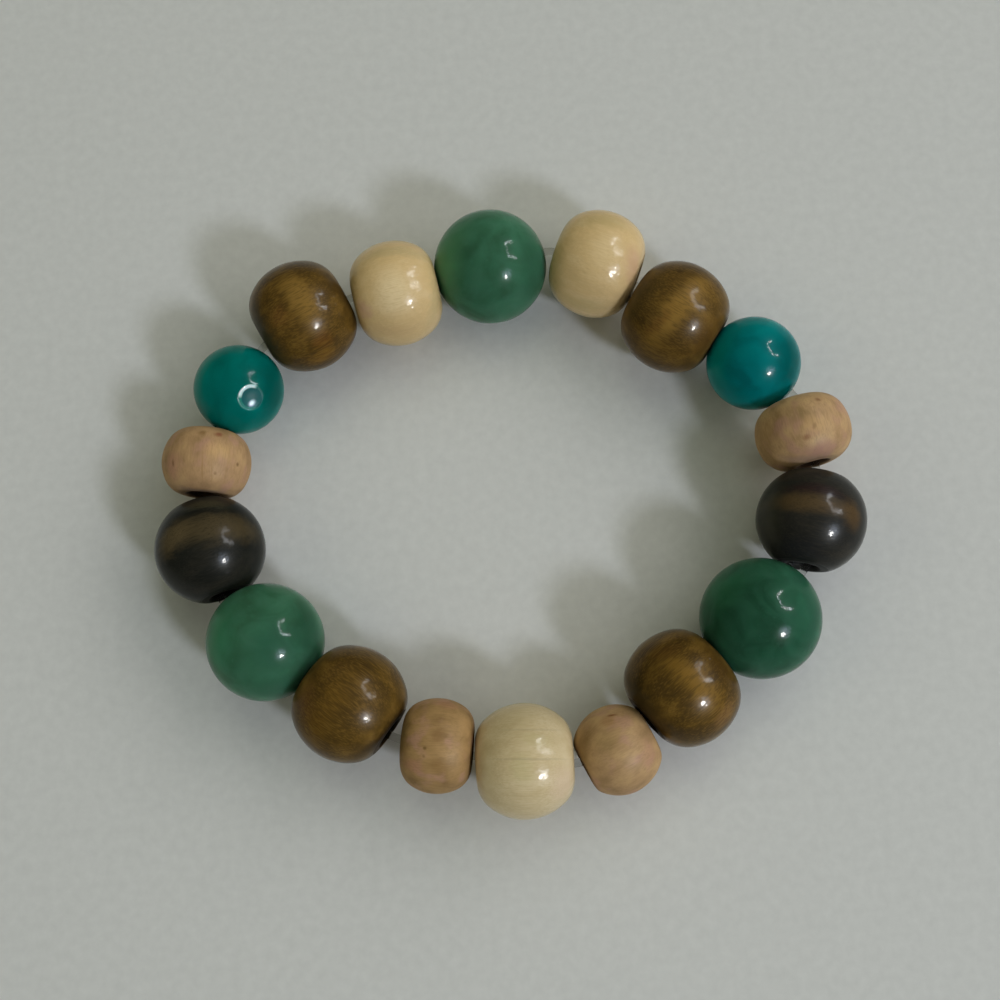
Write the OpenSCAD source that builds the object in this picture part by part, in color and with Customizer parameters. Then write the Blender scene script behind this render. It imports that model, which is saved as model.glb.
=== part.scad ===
// Stretch bracelet of eighteen round beads on one closed elastic thread, lying flat.
// Stone beads are drilled balls. Wood beads are balls cut flat at both ends, with rounded rims,
// a wide hole and a countersunk mouth, and a stone bead nests in its wood neighbour's mouth.
// The taut thread keeps all the holes at one height, so the largest beads carry the bracelet.

/* [Stone beads] */
// Diameter of the green stone beads
green_d = 12.2; // [11.8:0.1:12.6]
// Diameter of the teal stone beads
teal_d = 9.7; // [9.3:0.1:10.1]
// Diameter of the hole through a stone bead
stone_bore_d = 1.2; // [1.1:0.1:1.6]
// Width of the bevel round the mouth of that hole
stone_bevel = 0.15; // [0.05:0.05:0.25]

/* [Wood beads] */
// Diameter of the brown beads
brown_d = 11.9; // [11.5:0.1:12.3]
// Length of the brown beads, along the hole
brown_len = 10; // [9.7:0.1:10.4]
// Diameter of the dark beads
dark_d = 11.3; // [11.2:0.1:11.7]
// Length of the dark beads
dark_len = 10; // [9.6:0.1:10]
// Diameter of the ivory beads
ivory_d = 11.4; // [11:0.1:11.8]
// Length of the ivory beads
ivory_len = 9.3; // [9:0.1:9.6]
// Diameter of the tan beads
tan_d = 9.4; // [9.2:0.1:9.8]
// Length of the tan beads
tan_len = 7.1; // [6.8:0.1:7.2]
// Diameter of the hole through a wood bead
wood_bore_d = 3; // [2.9:0.1:3.2]
// Width of the countersink round the mouth of that hole
wood_sink = 0.35; // [0.2:0.05:0.4]
// Radius that rounds the rim of each flat end
rim_r = 0.5; // [0.3:0.05:0.6]

/* [Loop] */
// Depth of the oval loop as a share of its width
loop_ratio = 0.825; // [0.75:0.005:1]
// Clearance between neighbouring beads
bead_gap = 0.05; // [0.03:0.01:0.2]
// Polar angle of the first bead, counted from the loop's right-hand side
first_angle = 91; // [85:1:95]

/* [Elastic thread] */
// Diameter of the elastic thread
thread_d = 0.8; // [0.5:0.1:0.8]

/* [Pit in the left teal bead] */
// Width of the pit
pit_w = 2.7; // [2:0.1:3]
// How far the pit's floor dips below the plane of its rim
pit_dip = 0.12; // [0.05:0.01:0.2]
// Lean of the pit's middle away from straight up, in degrees
pit_lean = 39; // [0:1:60]
// Heading of that lean in the loop's plane, in degrees
pit_heading = -46; // [-60:1:-30]

/* [Hidden] */
$fn = 72;

// Columns of the table of kinds
KIND_NAME = 0;
KIND_D = 1;
KIND_LEN = 2;
KIND_STONE = 3;
KIND_COLOUR = 4;
KINDS = [
    ["green", green_d, green_d, true, "#2f573e"],
    ["teal", teal_d, teal_d, true, "#06514c"],
    ["brown", brown_d, brown_len, false, "#654b21"],
    ["dark", dark_d, dark_len, false, "#241f19"],
    ["ivory", ivory_d, ivory_len, false, "#bca575"],
    ["tan", tan_d, tan_len, false, "#9c7f55"],
];

// Columns of the table of beads, clockwise from the top. Wider and longer are how much a bead
// differs from its kind, out is how far it stands outside the oval, and turn is how far it is
// turned from the oval's own direction, in degrees. Longer and turn are for wood beads alone:
// a ball is as long as it is wide, and the thread lines it up
BEAD_NAME = 0;
BEAD_KIND = 1;
BEAD_WIDER = 2;
BEAD_LONGER = 3;
BEAD_OUT = 4;
BEAD_TURN = 5;
BEADS = [
    ["green_bead_top", "green", 0, 0, 0.2, 0],
    ["ivory_bead_top_right", "ivory", 0.1, 0, 1.4, -7],
    ["brown_bead_top_right", "brown", 0, 0, -1.3, -1],
    ["teal_bead_right", "teal", 0.2, 0, 0, 0],
    ["tan_bead_right", "tan", 0.5, 0, 0.6, -4],
    ["dark_bead_right", "dark", -0.1, -0.1, 0.1, -6],
    ["green_bead_low_right", "green", 0.1, 0, -1.4, 0],
    ["brown_bead_low_right", "brown", 0, -0.4, -1.7, 8],
    ["tan_bead_low_right", "tan", -0.5, 0.3, 1.2, 11],
    ["ivory_bead_bottom", "ivory", 0, 0.4, 0.6, 0],
    ["tan_bead_low_left", "tan", 0, 0, -0.4, 6],
    ["brown_bead_low_left", "brown", -0.1, 0, -1.6, -8],
    ["green_bead_low_left", "green", -0.2, 0, -1.2, 0],
    ["dark_bead_left", "dark", 0, 0.2, 0, 9],
    ["tan_bead_left", "tan", -0.2, -0.2, 0.9, 9],
    ["teal_bead_left", "teal", -0.2, 0, 1.2, 0],
    ["brown_bead_top_left", "brown", 0, 0, 2, -7],
    ["ivory_bead_top_left", "ivory", -0.1, -0.1, -0.6, -7],
];
PITTED_BEAD = "teal_bead_left";

bead_count = len(BEADS);
function after(i) = (i + 1) % bead_count;
function before(i) = (i + bead_count - 1) % bead_count;

// Sizes of one bead. Its rims stand a hair proud of its ball, so that their outlines cross
rim_proud = 0.01;
function kind(i) = KINDS[search([BEADS[i][BEAD_KIND]], KINDS, 1, KIND_NAME)[0]];
function stone(i) = kind(i)[KIND_STONE];
function radius(i) = (kind(i)[KIND_D] + BEADS[i][BEAD_WIDER]) / 2;
function half_len(i) =
    stone(i) ? radius(i) : (kind(i)[KIND_LEN] + BEADS[i][BEAD_LONGER]) / 2;
function flat_r(i) =
    sqrt(pow(radius(i) - rim_r + rim_proud, 2) - pow(half_len(i) - rim_r, 2));

// How far a bead reaches from its centre, along a line that leans from its hole by an angle
function reach(i, lean) = stone(i) ? radius(i) : let (
        along = abs(cos(lean)),
        on_ball = along <= (half_len(i) - rim_r) / (radius(i) - rim_r)
    ) on_ball ? radius(i) : (half_len(i) - rim_r) * along + flat_r(i) * abs(sin(lean)) + rim_r;

// How far along a wood bead's hole the ball that sits in its mouth lies: the further the ball
// is to the side, the less it sinks in. A first guess of that distance gives the side offset
function sunk(ball_r, wood_half, lean, guess) = let (
        aside = guess * abs(tan(lean)),
        seat_r = max(wood_bore_d / 2 + wood_sink - aside, 0)
    ) wood_half + sqrt(pow(ball_r, 2) - pow(seat_r, 2));

// Distance between the centres of a stone bead and the wood bead whose mouth it sits in
function nested(ball_r, wood_half, lean) = let (
        first = sunk(ball_r, wood_half, lean, wood_half + ball_r)
    ) sunk(ball_r, wood_half, lean, first) / cos(lean);

// Distance between the centres of two wood beads that touch: a line between them parts them,
// square to the line of centres or to either hole, whichever lets them lie closest
function abutted(i, j, lean_i, lean_j) = min(
        reach(i, lean_i) + reach(j, lean_j),
        (half_len(i) + reach(j, lean_i - lean_j)) / abs(cos(lean_i)),
        (half_len(j) + reach(i, lean_i - lean_j)) / abs(cos(lean_j))
    );

function touching(i, j, lean_i, lean_j) =
    stone(i) ? nested(radius(i), half_len(j), lean_j) :
    stone(j) ? nested(radius(j), half_len(i), lean_i) :
    abutted(i, j, lean_i, lean_j);

// A bead's centre and the heading of its hole, at a polar angle of an oval of a given size
function oval(angle) = loop_ratio / norm([loop_ratio * cos(angle), sin(angle)]);
function centre_at(i, angle, half_w) =
    (half_w * oval(angle) + BEADS[i][BEAD_OUT]) * [cos(angle), sin(angle)];
function heading_at(i, angle) =
    atan2(-pow(loop_ratio, 2) * cos(angle), sin(angle)) + BEADS[i][BEAD_TURN];

// Slack between two beads at their polar angles
function slack(i, j, angle_i, angle_j, half_w) = let (
        step = centre_at(j, angle_j, half_w) - centre_at(i, angle_i, half_w),
        line = atan2(step.y, step.x)
    ) norm(step) - touching(i, j, heading_at(i, angle_i) - line, heading_at(j, angle_j) - line);

// Polar angle at which the next bead, pushed along the thread, meets the one before it. It is
// first put down a typical step on, and each correction takes up most of the slack that is left
slide_steps = 8;
first_step = 20;
function pushed(i, j, angle_i, angle_j, half_w, steps = slide_steps) =
    steps == 0 ? angle_j : let (
        too_far = slack(i, j, angle_i, angle_j, half_w) - bead_gap,
        turn = too_far / half_w * 180 / PI
    ) pushed(i, j, angle_i, angle_j + turn, half_w, steps - 1);

// Polar angles of all the beads, and last the angle where the first one would come again
function strung(half_w) = [
    for (
        i = 0, angle = first_angle;
        i <= bead_count;
        angle = pushed(i % bead_count, after(i), angle, angle - first_step, half_w), i = i + 1
    ) angle
];

// Size of the oval on which the string of beads closes, found by halving an interval
halvings = 24;
smallest_half_w = 25;
largest_half_w = 40;
function closed(low, high, steps = halvings) = let (
        middle = (low + high) / 2
    ) steps == 0 ? middle :
    strung(middle)[bead_count] > first_angle - 360 ?
        closed(low, middle, steps - 1) :
        closed(middle, high, steps - 1);

loop_half_w = closed(smallest_half_w, largest_half_w);
ANGLES = strung(loop_half_w);
STRUNG = [for (i = [0 : bead_count - 1]) centre_at(i, ANGLES[i], loop_half_w)];

// Middle of a wood bead's mouth, ahead of or behind its centre
function mouth_at(i, side) = let (
        heading = heading_at(i, ANGLES[i])
    ) STRUNG[i] + side * half_len(i) * [cos(heading), sin(heading)];

// The taut thread turns a stone bead's hole to run from mouth to mouth of its wood neighbours
function settled(i) = let (
        line = mouth_at(after(i), -1) - mouth_at(before(i), 1)
    ) stone(i) ? atan2(line.y, line.x) : heading_at(i, ANGLES[i]);
HEADINGS = [for (i = [0 : bead_count - 1]) settled(i)];

// The origin is the middle of the bracelet's box, on the surface it lies on
function box_low(axis) =
    min([for (i = [0 : bead_count - 1]) STRUNG[i][axis] - reach(i, HEADINGS[i] - 90 * axis)]);
function box_high(axis) =
    max([for (i = [0 : bead_count - 1]) STRUNG[i][axis] + reach(i, HEADINGS[i] - 90 * axis)]);
middle = [for (axis = [0, 1]) (box_low(axis) + box_high(axis)) / 2];
bore_z = max([for (i = [0 : bead_count - 1]) radius(i)]);
CENTRES = [for (c = STRUNG) [c.x - middle.x, c.y - middle.y, bore_z]];

// Cutters are a little longer than what they cut
over = 0.5;

// A bead lies with its hole along its heading
module lay(i) {
    translate(CENTRES[i])
        rotate([0, 0, HEADINGS[i]])
            rotate([0, 90, 0])
                children();
}

// Drilled ball, the hole's mouths bevelled
module stone_bead(i) {
    r = radius(i);
    mouth = sqrt(pow(r, 2) - pow(stone_bore_d / 2 + stone_bevel, 2));
    lay(i)
        difference() {
            sphere(r = r);
            cylinder(h = 2 * (r + over), d = stone_bore_d, center = true);
            for (side = [0, 180]) {
                rotate([side, 0, 0])
                    translate([0, 0, mouth - stone_bevel])
                        cylinder(
                            h = stone_bevel + over,
                            r1 = stone_bore_d / 2,
                            r2 = stone_bore_d / 2 + stone_bevel + over
                        );
            }
        }
}

// Ball that grinds the pit: it meets the bead along the pit's rim
module pit_cutter(i) {
    r = radius(i);
    rim_height = sqrt(pow(r, 2) - pow(pit_w / 2, 2));
    cutter_r = (pow(pit_w / 2, 2) + pow(pit_dip, 2)) / (2 * pit_dip);
    translate(CENTRES[i])
        rotate([0, pit_lean, pit_heading])
            translate([0, 0, rim_height + cutter_r - pit_dip])
                sphere(r = cutter_r);
}

// Half outline of a wood bead, from its hole outward
module wood_outline(i) {
    r = radius(i);
    h = half_len(i);
    rim_x = flat_r(i);
    rim_y = h - rim_r;
    meet_y = r * sin(atan2(rim_y, rim_x));
    bore_r = wood_bore_d / 2;
    difference() {
        union() {
            intersection() {
                circle(r = r);
                translate([0, -meet_y])
                    square([r + over, 2 * meet_y]);
            }
            for (side = [-1, 1]) {
                translate([rim_x, side * rim_y])
                    circle(r = rim_r);
            }
            translate([0, -h])
                square([rim_x, 2 * h]);
        }
        translate([-over, -h - over])
            square([bore_r + over, 2 * (h + over)]);
        for (side = [-1, 1]) {
            polygon([
                [bore_r - over, side * (h - wood_sink - over)],
                [bore_r - over, side * (h + over)],
                [bore_r + wood_sink + over, side * (h + over)]
            ]);
        }
    }
}

// Turned bead, its hole along its heading
module wood_bead(i) {
    lay(i)
        rotate_extrude()
            wood_outline(i);
}

// Any bead of the string, in its kind's colour
module bead(i) {
    color(kind(i)[KIND_COLOUR])
        difference() {
            if (stone(i)) {
                stone_bead(i);
            } else {
                wood_bead(i);
            }
            if (BEADS[i][BEAD_NAME] == PITTED_BEAD) {
                pit_cutter(i);
            }
        }
}

// The thread runs straight through a stone bead and bends gently inside a wood bead. Its
// joints are where a stone bead's hole ends, or midway between two wood beads
function forward(i) = [cos(HEADINGS[i]), sin(HEADINGS[i]), 0];
function unit(v) = v / norm(v);
function exit_point(i) = CENTRES[i] + half_len(i) * forward(i);
function entry_point(i) = CENTRES[i] - half_len(i) * forward(i);
function joint_point(i) = let (j = after(i))
    stone(i) ? exit_point(i) :
    stone(j) ? entry_point(j) :
    (exit_point(i) + entry_point(j)) / 2;
function joint_way(i) = let (j = after(i))
    stone(i) ? forward(i) :
    stone(j) ? forward(j) :
    unit(forward(i) + forward(j));

// Cubic curve from one joint to the next, and its direction, at a share of the way
thread_stiffness = 0.6;
function curve(p, q, way_p, way_q, share) = let (span = thread_stiffness * norm(q - p))
    p * (2 * pow(share, 3) - 3 * pow(share, 2) + 1)
    + way_p * span * (pow(share, 3) - 2 * pow(share, 2) + share)
    + q * (3 * pow(share, 2) - 2 * pow(share, 3))
    + way_q * span * (pow(share, 3) - pow(share, 2));
function curve_way(p, q, way_p, way_q, share) = let (span = thread_stiffness * norm(q - p))
    unit(
        p * (6 * pow(share, 2) - 6 * share)
        + way_p * span * (3 * pow(share, 2) - 4 * share + 1)
        + q * (6 * share - 6 * pow(share, 2))
        + way_q * span * (3 * pow(share, 2) - 2 * share)
    );

// The thread is swept as rings, a few for each bead, and its last ring joins its first
rings_per_bead = 4;
thread_sides = 8;
ring_count = rings_per_bead * bead_count;

function thread_ring(i, share) = let (
        p = joint_point(before(i)),
        q = joint_point(i),
        way_p = joint_way(before(i)),
        way_q = joint_way(i),
        at = curve(p, q, way_p, way_q, share),
        way = curve_way(p, q, way_p, way_q, share),
        aside = [way.y, -way.x, 0]
    ) [
        for (side = [0 : thread_sides - 1])
            let (turn = (side + 0.5) * 360 / thread_sides)
            at + thread_d / 2 * (cos(turn) * aside + sin(turn) * [0, 0, 1])
    ];

module elastic_thread() {
    points = [
        for (i = [0 : bead_count - 1])
            for (step = [0 : rings_per_bead - 1])
                each thread_ring(i, step / rings_per_bead)
    ];
    faces = [
        for (ring = [0 : ring_count - 1])
            for (side = [0 : thread_sides - 1])
                let (
                    here = ring * thread_sides,
                    there = (ring + 1) % ring_count * thread_sides,
                    next_side = (side + 1) % thread_sides
                )
                [here + side, here + next_side, there + next_side, there + side]
    ];
    color("gainsboro")
        polyhedron(points = points, faces = faces);
}

for (i = [0 : bead_count - 1]) {
    bead(i);
}
elastic_thread();
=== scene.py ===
"""A stretch bracelet of polished stone and turned wood beads on a clear elastic thread.

Every bead takes its place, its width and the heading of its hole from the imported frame. In its
own frame a bead has its hole along x and up along z, and the sizes of the patterns on the finishes
are given in millimetres.
"""

import logging
import math
from dataclasses import dataclass, field, replace
from enum import Enum

import bmesh
import bpy
import numpy as np
from mathutils import Matrix, Vector, noise


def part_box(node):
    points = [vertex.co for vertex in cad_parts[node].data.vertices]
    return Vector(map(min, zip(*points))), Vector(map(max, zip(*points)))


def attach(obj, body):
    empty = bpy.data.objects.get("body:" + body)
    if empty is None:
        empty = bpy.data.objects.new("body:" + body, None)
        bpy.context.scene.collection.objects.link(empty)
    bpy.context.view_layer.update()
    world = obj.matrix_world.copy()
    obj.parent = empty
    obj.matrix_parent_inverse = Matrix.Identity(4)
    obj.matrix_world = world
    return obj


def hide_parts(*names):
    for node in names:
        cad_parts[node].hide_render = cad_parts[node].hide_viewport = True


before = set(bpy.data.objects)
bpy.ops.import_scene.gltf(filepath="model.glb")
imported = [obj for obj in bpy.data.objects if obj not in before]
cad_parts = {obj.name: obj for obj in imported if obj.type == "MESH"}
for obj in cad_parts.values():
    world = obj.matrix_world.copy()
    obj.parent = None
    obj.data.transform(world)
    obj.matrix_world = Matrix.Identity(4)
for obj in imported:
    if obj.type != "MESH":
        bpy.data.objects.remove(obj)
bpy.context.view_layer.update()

log = logging.getLogger("bracelet")

MM = 0.001
BODY = "root"

Colour = tuple[float, float, float, float]
Outline = list[tuple[float, float]]
Socket = bpy.types.NodeSocket

# Sockets of the colour mixing node
MIX_SHARE = 0
MIX_BELOW = 6
MIX_ABOVE = 7
MIXED = 2

# Millimetres that a pattern is shifted from one bead to the next, and from one layer to the next
BEAD_SHIFT = (7, 13, 29)
LAYER_SHIFT = (31, 3, 17)

# Distance from the hole's middle line up to which wood is bare under painted shade, and from which its polish
# is whole
BARE_R = 1.6 * MM
POLISHED_R = 2.1 * MM

# Distance from the flat end up to which wood is bare under painted shade, and from which its polish is whole
BARE_DEPTH = 0.02 * MM
POLISHED_DEPTH = 0.15 * MM

# Values of a wood's figure at which its fine lines begin, and at which each kind is full
LINES_BEGIN = 0.48
DARK_FULL = 0.64
LIGHT_FULL = 0.34

# Shares of a bead's half length between which its fibres go from lengthwise to cut across
LENGTHWISE = 0.45
CUT_ACROSS = 0.98

# Share of a patch's half size within which its colour is full
PATCH_CORE = 0.2

# The layer of a soft second reflection bends light only a little, so that it stays faint
SHEEN_IOR = 1.13


def linear(hex_colour: str) -> Colour:
    """Turn an sRGB hex colour into a linear one.

    Args:
        hex_colour: a colour such as "#2f573e".

    Returns:
        Red, green and blue as linear shares, and an alpha of one.
    """
    shares = [int(hex_colour[i : i + 2], 16) / 255 for i in (1, 3, 5)]
    bent = [s / 12.92 if s <= 0.04045 else ((s + 0.055) / 1.055) ** 2.4 for s in shares]
    return (*bent, 1.0)


def towards(azimuth: float, elevation: float) -> Vector:
    """Give the direction that has an azimuth and an elevation.

    Args:
        azimuth: degrees from the x axis, counted towards the y axis.
        elevation: degrees above the surface.

    Returns:
        The unit vector of that direction.
    """
    turn = math.radians(azimuth)
    rise = math.radians(elevation)
    flat = math.cos(rise)
    return Vector((flat * math.cos(turn), flat * math.sin(turn), math.sin(rise)))


def camera_place() -> Matrix:
    """Place the picture's camera, which looks down its own -z axis.

    Returns:
        Its place and the way that it points.
    """
    aim = Matrix.Translation(Vector((-0.859, 1.471, 0)) * MM)
    swing = Matrix.Rotation(math.radians(2.7), 4, "Z")
    lean = Matrix.Rotation(math.radians(12.07), 4, "X")
    roll = Matrix.Rotation(math.radians(-6), 4, "Z")
    distance = Matrix.Translation((0, 0, 131.4 * MM))
    return aim @ swing @ lean @ roll @ distance


def picture_axes(centre: Vector) -> Matrix:
    """Give the ways that are right, up and towards the eye in the picture, at one of its places.

    Args:
        centre: the place.

    Returns:
        Those three ways, as the columns of a matrix.
    """
    eye = camera_place()
    near = (eye.translation - centre).normalized()
    side = eye.col[0].xyz
    side = (side - near * side.dot(near)).normalized()
    return Matrix((side, near.cross(side), near)).transposed()


def feed(node: bpy.types.Node, inputs: dict[str | int, object]) -> None:
    """Feed a node's sockets.

    Args:
        node: the node.
        inputs: what each socket takes, a value of its own or another node's output.
    """
    for socket, value in inputs.items():
        if isinstance(value, Socket):
            node.id_data.links.new(value, node.inputs[socket])
        else:
            node.inputs[socket].default_value = value


def add_node(
    tree: bpy.types.NodeTree,
    kind: str,
    inputs: dict[str | int, object] | None = None,
    stops: tuple[tuple[float, str], ...] = (),
    **settings: object,
) -> bpy.types.Node:
    """Add a node, set it up and feed its sockets.

    Args:
        tree: the material's or the world's nodes.
        kind: Blender's name for the kind of node.
        inputs: what each socket takes, a value of its own or another node's output.
        stops: positions and sRGB hex colours, for a colour ramp.
        settings: the node's own properties.

    Returns:
        The new node.
    """
    node = tree.nodes.new(kind)
    for name, value in settings.items():
        setattr(node, name, value)
    feed(node, inputs or {})
    if stops:
        ramp = node.color_ramp.elements
        ramp.remove(ramp[1])
        ramp[0].position = stops[0][0]
        ramp[0].color = linear(stops[0][1])
        for position, colour in stops[1:]:
            ramp.new(position).color = linear(colour)
    return node


def finished_mesh(name: str, mesh: bpy.types.Mesh, place: Vector, node: str) -> bpy.types.Object:
    """Turn a mesh into a piece that stands for a node of the frame.

    Args:
        name: the piece's name.
        mesh: its mesh, about the piece's own middle.
        place: where that middle goes.
        node: the frame's node that it stands for.

    Returns:
        The piece, riding on its body.
    """
    mesh.polygons.foreach_set("use_smooth", [True] * len(mesh.polygons))
    piece = bpy.data.objects.new(name, mesh)
    bpy.context.scene.collection.objects.link(piece)
    piece.location = place
    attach(piece, BODY)
    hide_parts(node)
    return piece


def lathe(name: str, outline: Outline, steps: int, shut: bool = True) -> bpy.types.Mesh:
    """Turn an outline about the x axis.

    Args:
        name: the mesh's name.
        outline: points as (along the axis, away from it), in metres.
        steps: how many times the outline is repeated round the axis.
        shut: whether the outline's last point joins its first. If not, both lie on the axis.

    Returns:
        The turned mesh, closed, with its faces turned outward.
    """
    work = bmesh.new()
    rings = []
    for along, away in outline:
        if away <= 0:
            rings.append([work.verts.new((along, 0, 0))] * steps)
            continue
        angles = [2 * math.pi * step / steps for step in range(steps)]
        rings.append([work.verts.new((along, away * math.cos(a), away * math.sin(a))) for a in angles])
    pairs = list(zip(rings, rings[1:]))
    if shut:
        pairs.append((rings[-1], rings[0]))
    for here, there in pairs:
        for step in range(steps):
            beyond = (step + 1) % steps
            corners = dict.fromkeys((here[step], here[beyond], there[beyond], there[step]))
            work.faces.new(corners)
    bmesh.ops.recalc_face_normals(work, faces=work.faces)
    mesh = bpy.data.meshes.new(name)
    work.to_mesh(mesh)
    work.free()
    return mesh


def arc(middle: tuple[float, float], radius: float, start: float, end: float, steps: int) -> Outline:
    """Give the points of an arc of an outline.

    Args:
        middle: the arc's middle, as (along the axis, away from it).
        radius: its radius.
        start: its first angle from the axis, in radians.
        end: its last angle.
        steps: how many stretches it has.

    Returns:
        The arc's points, both ends among them.
    """
    angles = [start + (end - start) * step / steps for step in range(steps + 1)]
    return [(middle[0] + radius * math.cos(a), middle[1] + radius * math.sin(a)) for a in angles]


@dataclass(frozen=True)
class MarkAndShadePatch:
    """A soft oval patch on a bead, placed as the picture shows it; many are painted light and shade.

    Attributes:
        colour: the patch's colour, as sRGB hex.
        right: how far its middle is to the right of the bead's, as a share of the radius.
        up: how far it is above it.
        long: half its length, as a share of the radius.
        wide: half its width.
        slant: degrees that its length leans away from the picture's level, anticlockwise.
        share: how much of its colour the patch lays on.
        ragged: how far its edge wanders, in bead radii.
        layer: whether it is a layer in the wood, which the picture shows edge on and straight.
    """

    colour: str
    right: float
    up: float
    long: float = 0.5
    wide: float = 0.5
    slant: float = 0
    share: float = 0.6
    ragged: float = 0.25
    layer: bool = False

    def shape(self, facing: Matrix) -> tuple[Vector, Vector, Vector]:
        """Place the patch on a ball of radius one.

        Args:
            facing: the ways that are right, up and near in the picture, as columns.

        Returns:
            The patch's middle, the turn of its frame and its half sizes.
        """
        near = math.sqrt(max(1 - self.right**2 - self.up**2, 0))
        middle = facing @ Vector((self.right, self.up, near))
        lean = math.radians(self.slant)
        along = facing @ Vector((math.cos(lean), math.sin(lean), 0))
        along = (along - middle * along.dot(middle)).normalized()
        turn = Matrix((along, middle.cross(along), middle)).transposed().to_euler()
        if self.layer:
            turn = (facing @ Matrix.Rotation(lean, 3, "Z")).to_euler()
        return middle, Vector(turn), Vector((self.long, self.wide, max(self.long, self.wide)))


@dataclass(frozen=True)
class Canvas:
    """The surface of one bead, on which a finish draws its patterns.

    Attributes:
        tree: the material's nodes.
        facing: the ways that are right, up and near in the picture, as columns.
        heading: heading of the bead's hole, in radians.
        seed: shifts the patterns, so that no two beads show the same stretch of them.
        turn: degrees that the grain is turned in the loop's plane, away from the hole.
        half_length: distance from the bead's middle to its flat ends, in metres.
    """

    tree: bpy.types.NodeTree
    facing: Matrix
    heading: float = 0
    seed: int = 0
    turn: float = 0
    half_length: float = 1

    def figure(
        self, along: float, across: float, detail: float = 2, swirl: float = 0, layer: int = 0
    ) -> bpy.types.Node:
        """Draw a cloudy figure whose marks have a real size.

        Args:
            along: length of a mark along the grain, in millimetres.
            across: its width across the grain, in millimetres.
            detail: how many times finer marks are laid over the coarse ones.
            swirl: how far the marks are stirred.
            layer: shifts the figure against the finish's other ones.

        Returns:
            The node whose outputs are the figure, as a share and as a colour.
        """
        place = add_node(self.tree, "ShaderNodeTexCoord").outputs["Object"]
        shift = Vector(BEAD_SHIFT) * MM * (self.seed + 1) + Vector(LAYER_SHIFT) * MM * layer
        size = (along * MM, across * MM, across * MM)
        turned = (0, 0, math.radians(self.turn) + self.heading)
        drawn = {"Vector": place, "Location": shift, "Rotation": turned, "Scale": size}
        laid = add_node(self.tree, "ShaderNodeMapping", drawn, vector_type="TEXTURE")
        marks = {"Vector": laid.outputs[0], "Scale": 1, "Detail": detail, "Distortion": swirl}
        return add_node(self.tree, "ShaderNodeTexNoise", marks)

    def marked_and_shaded(self, colour: Socket, marks_and_shading: tuple[MarkAndShadePatch, ...], across: float = 2.5) -> Socket:
        """Lay patches over a colour: marks of other colours, and painted light and shade.

        Args:
            colour: the colour below them.
            marks_and_shading: the patches.
            across: how often their edges wander, in millimetres across the grain.

        Returns:
            The colour with its patches.
        """
        if not marks_and_shading:
            return colour
        place = add_node(self.tree, "ShaderNodeTexCoord").outputs["Object"]
        outward = add_node(self.tree, "ShaderNodeVectorMath", {0: place}, operation="NORMALIZE").outputs[0]
        stir = self.figure(3, across, detail=3, layer=9).outputs["Color"]
        about_half = {0: stir, 1: (0.5,) * 3}
        centred = add_node(self.tree, "ShaderNodeVectorMath", about_half, operation="SUBTRACT").outputs[0]
        for painted_patch in marks_and_shading:
            wander = {0: centred, 1: (painted_patch.ragged,) * 3, 2: outward}
            way = add_node(self.tree, "ShaderNodeVectorMath", wander, operation="MULTIPLY_ADD").outputs[0]
            middle, turn, size = painted_patch.shape(self.facing)
            oval = {"Vector": way, "Location": middle, "Rotation": turn, "Scale": size}
            laid = add_node(self.tree, "ShaderNodeMapping", oval, vector_type="TEXTURE").outputs[0]
            away = add_node(self.tree, "ShaderNodeVectorMath", {0: laid}, operation="LENGTH").outputs["Value"]
            colour = self.tinted(colour, painted_patch.colour, away, 1, PATCH_CORE, painted_patch.share)
        return colour

    def tinted(
        self,
        colour: Socket,
        tint: str,
        value: Socket,
        start: float,
        end: float,
        share: float | Socket,
    ) -> Socket:
        """Lay a plain colour softly over another one, where a value says so.

        Args:
            colour: the colour below.
            tint: the plain colour, as sRGB hex.
            value: what decides, at each place of the surface.
            start: its value at which the plain colour begins.
            end: its value at which it is full.
            share: how much of it is laid on where it is full.

        Returns:
            The colour with its tint.
        """
        fade = {"Value": value, "From Min": start, "From Max": end, "To Max": share}
        soft = add_node(self.tree, "ShaderNodeMapRange", fade, interpolation_type="SMOOTHSTEP")
        both = {MIX_SHARE: soft.outputs[0], MIX_BELOW: colour, MIX_ABOVE: linear(tint)}
        return add_node(self.tree, "ShaderNodeMix", both, data_type="RGBA").outputs[MIXED]

    def laid_along(self, turn: float = 0) -> Socket:
        """Give the place on the bead, with x along the hole or turned away from it.

        Args:
            turn: degrees from the hole to x, in the loop's plane.

        Returns:
            That place.
        """
        place = add_node(self.tree, "ShaderNodeTexCoord").outputs["Object"]
        line = {"Vector": place, "Rotation": (0, 0, self.heading + math.radians(turn))}
        return add_node(self.tree, "ShaderNodeMapping", line, vector_type="TEXTURE").outputs[0]

    def from_middle(self, turn: float = 0) -> Socket:
        """Measure from the bead's middle along the hole, or along a line turned from it.

        Args:
            turn: degrees from the hole to that line, in the loop's plane.

        Returns:
            The distance, without a sign.
        """
        along = add_node(self.tree, "ShaderNodeSeparateXYZ", {0: self.laid_along(turn)}).outputs[0]
        return add_node(self.tree, "ShaderNodeMath", {0: along}, operation="ABSOLUTE").outputs[0]

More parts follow.
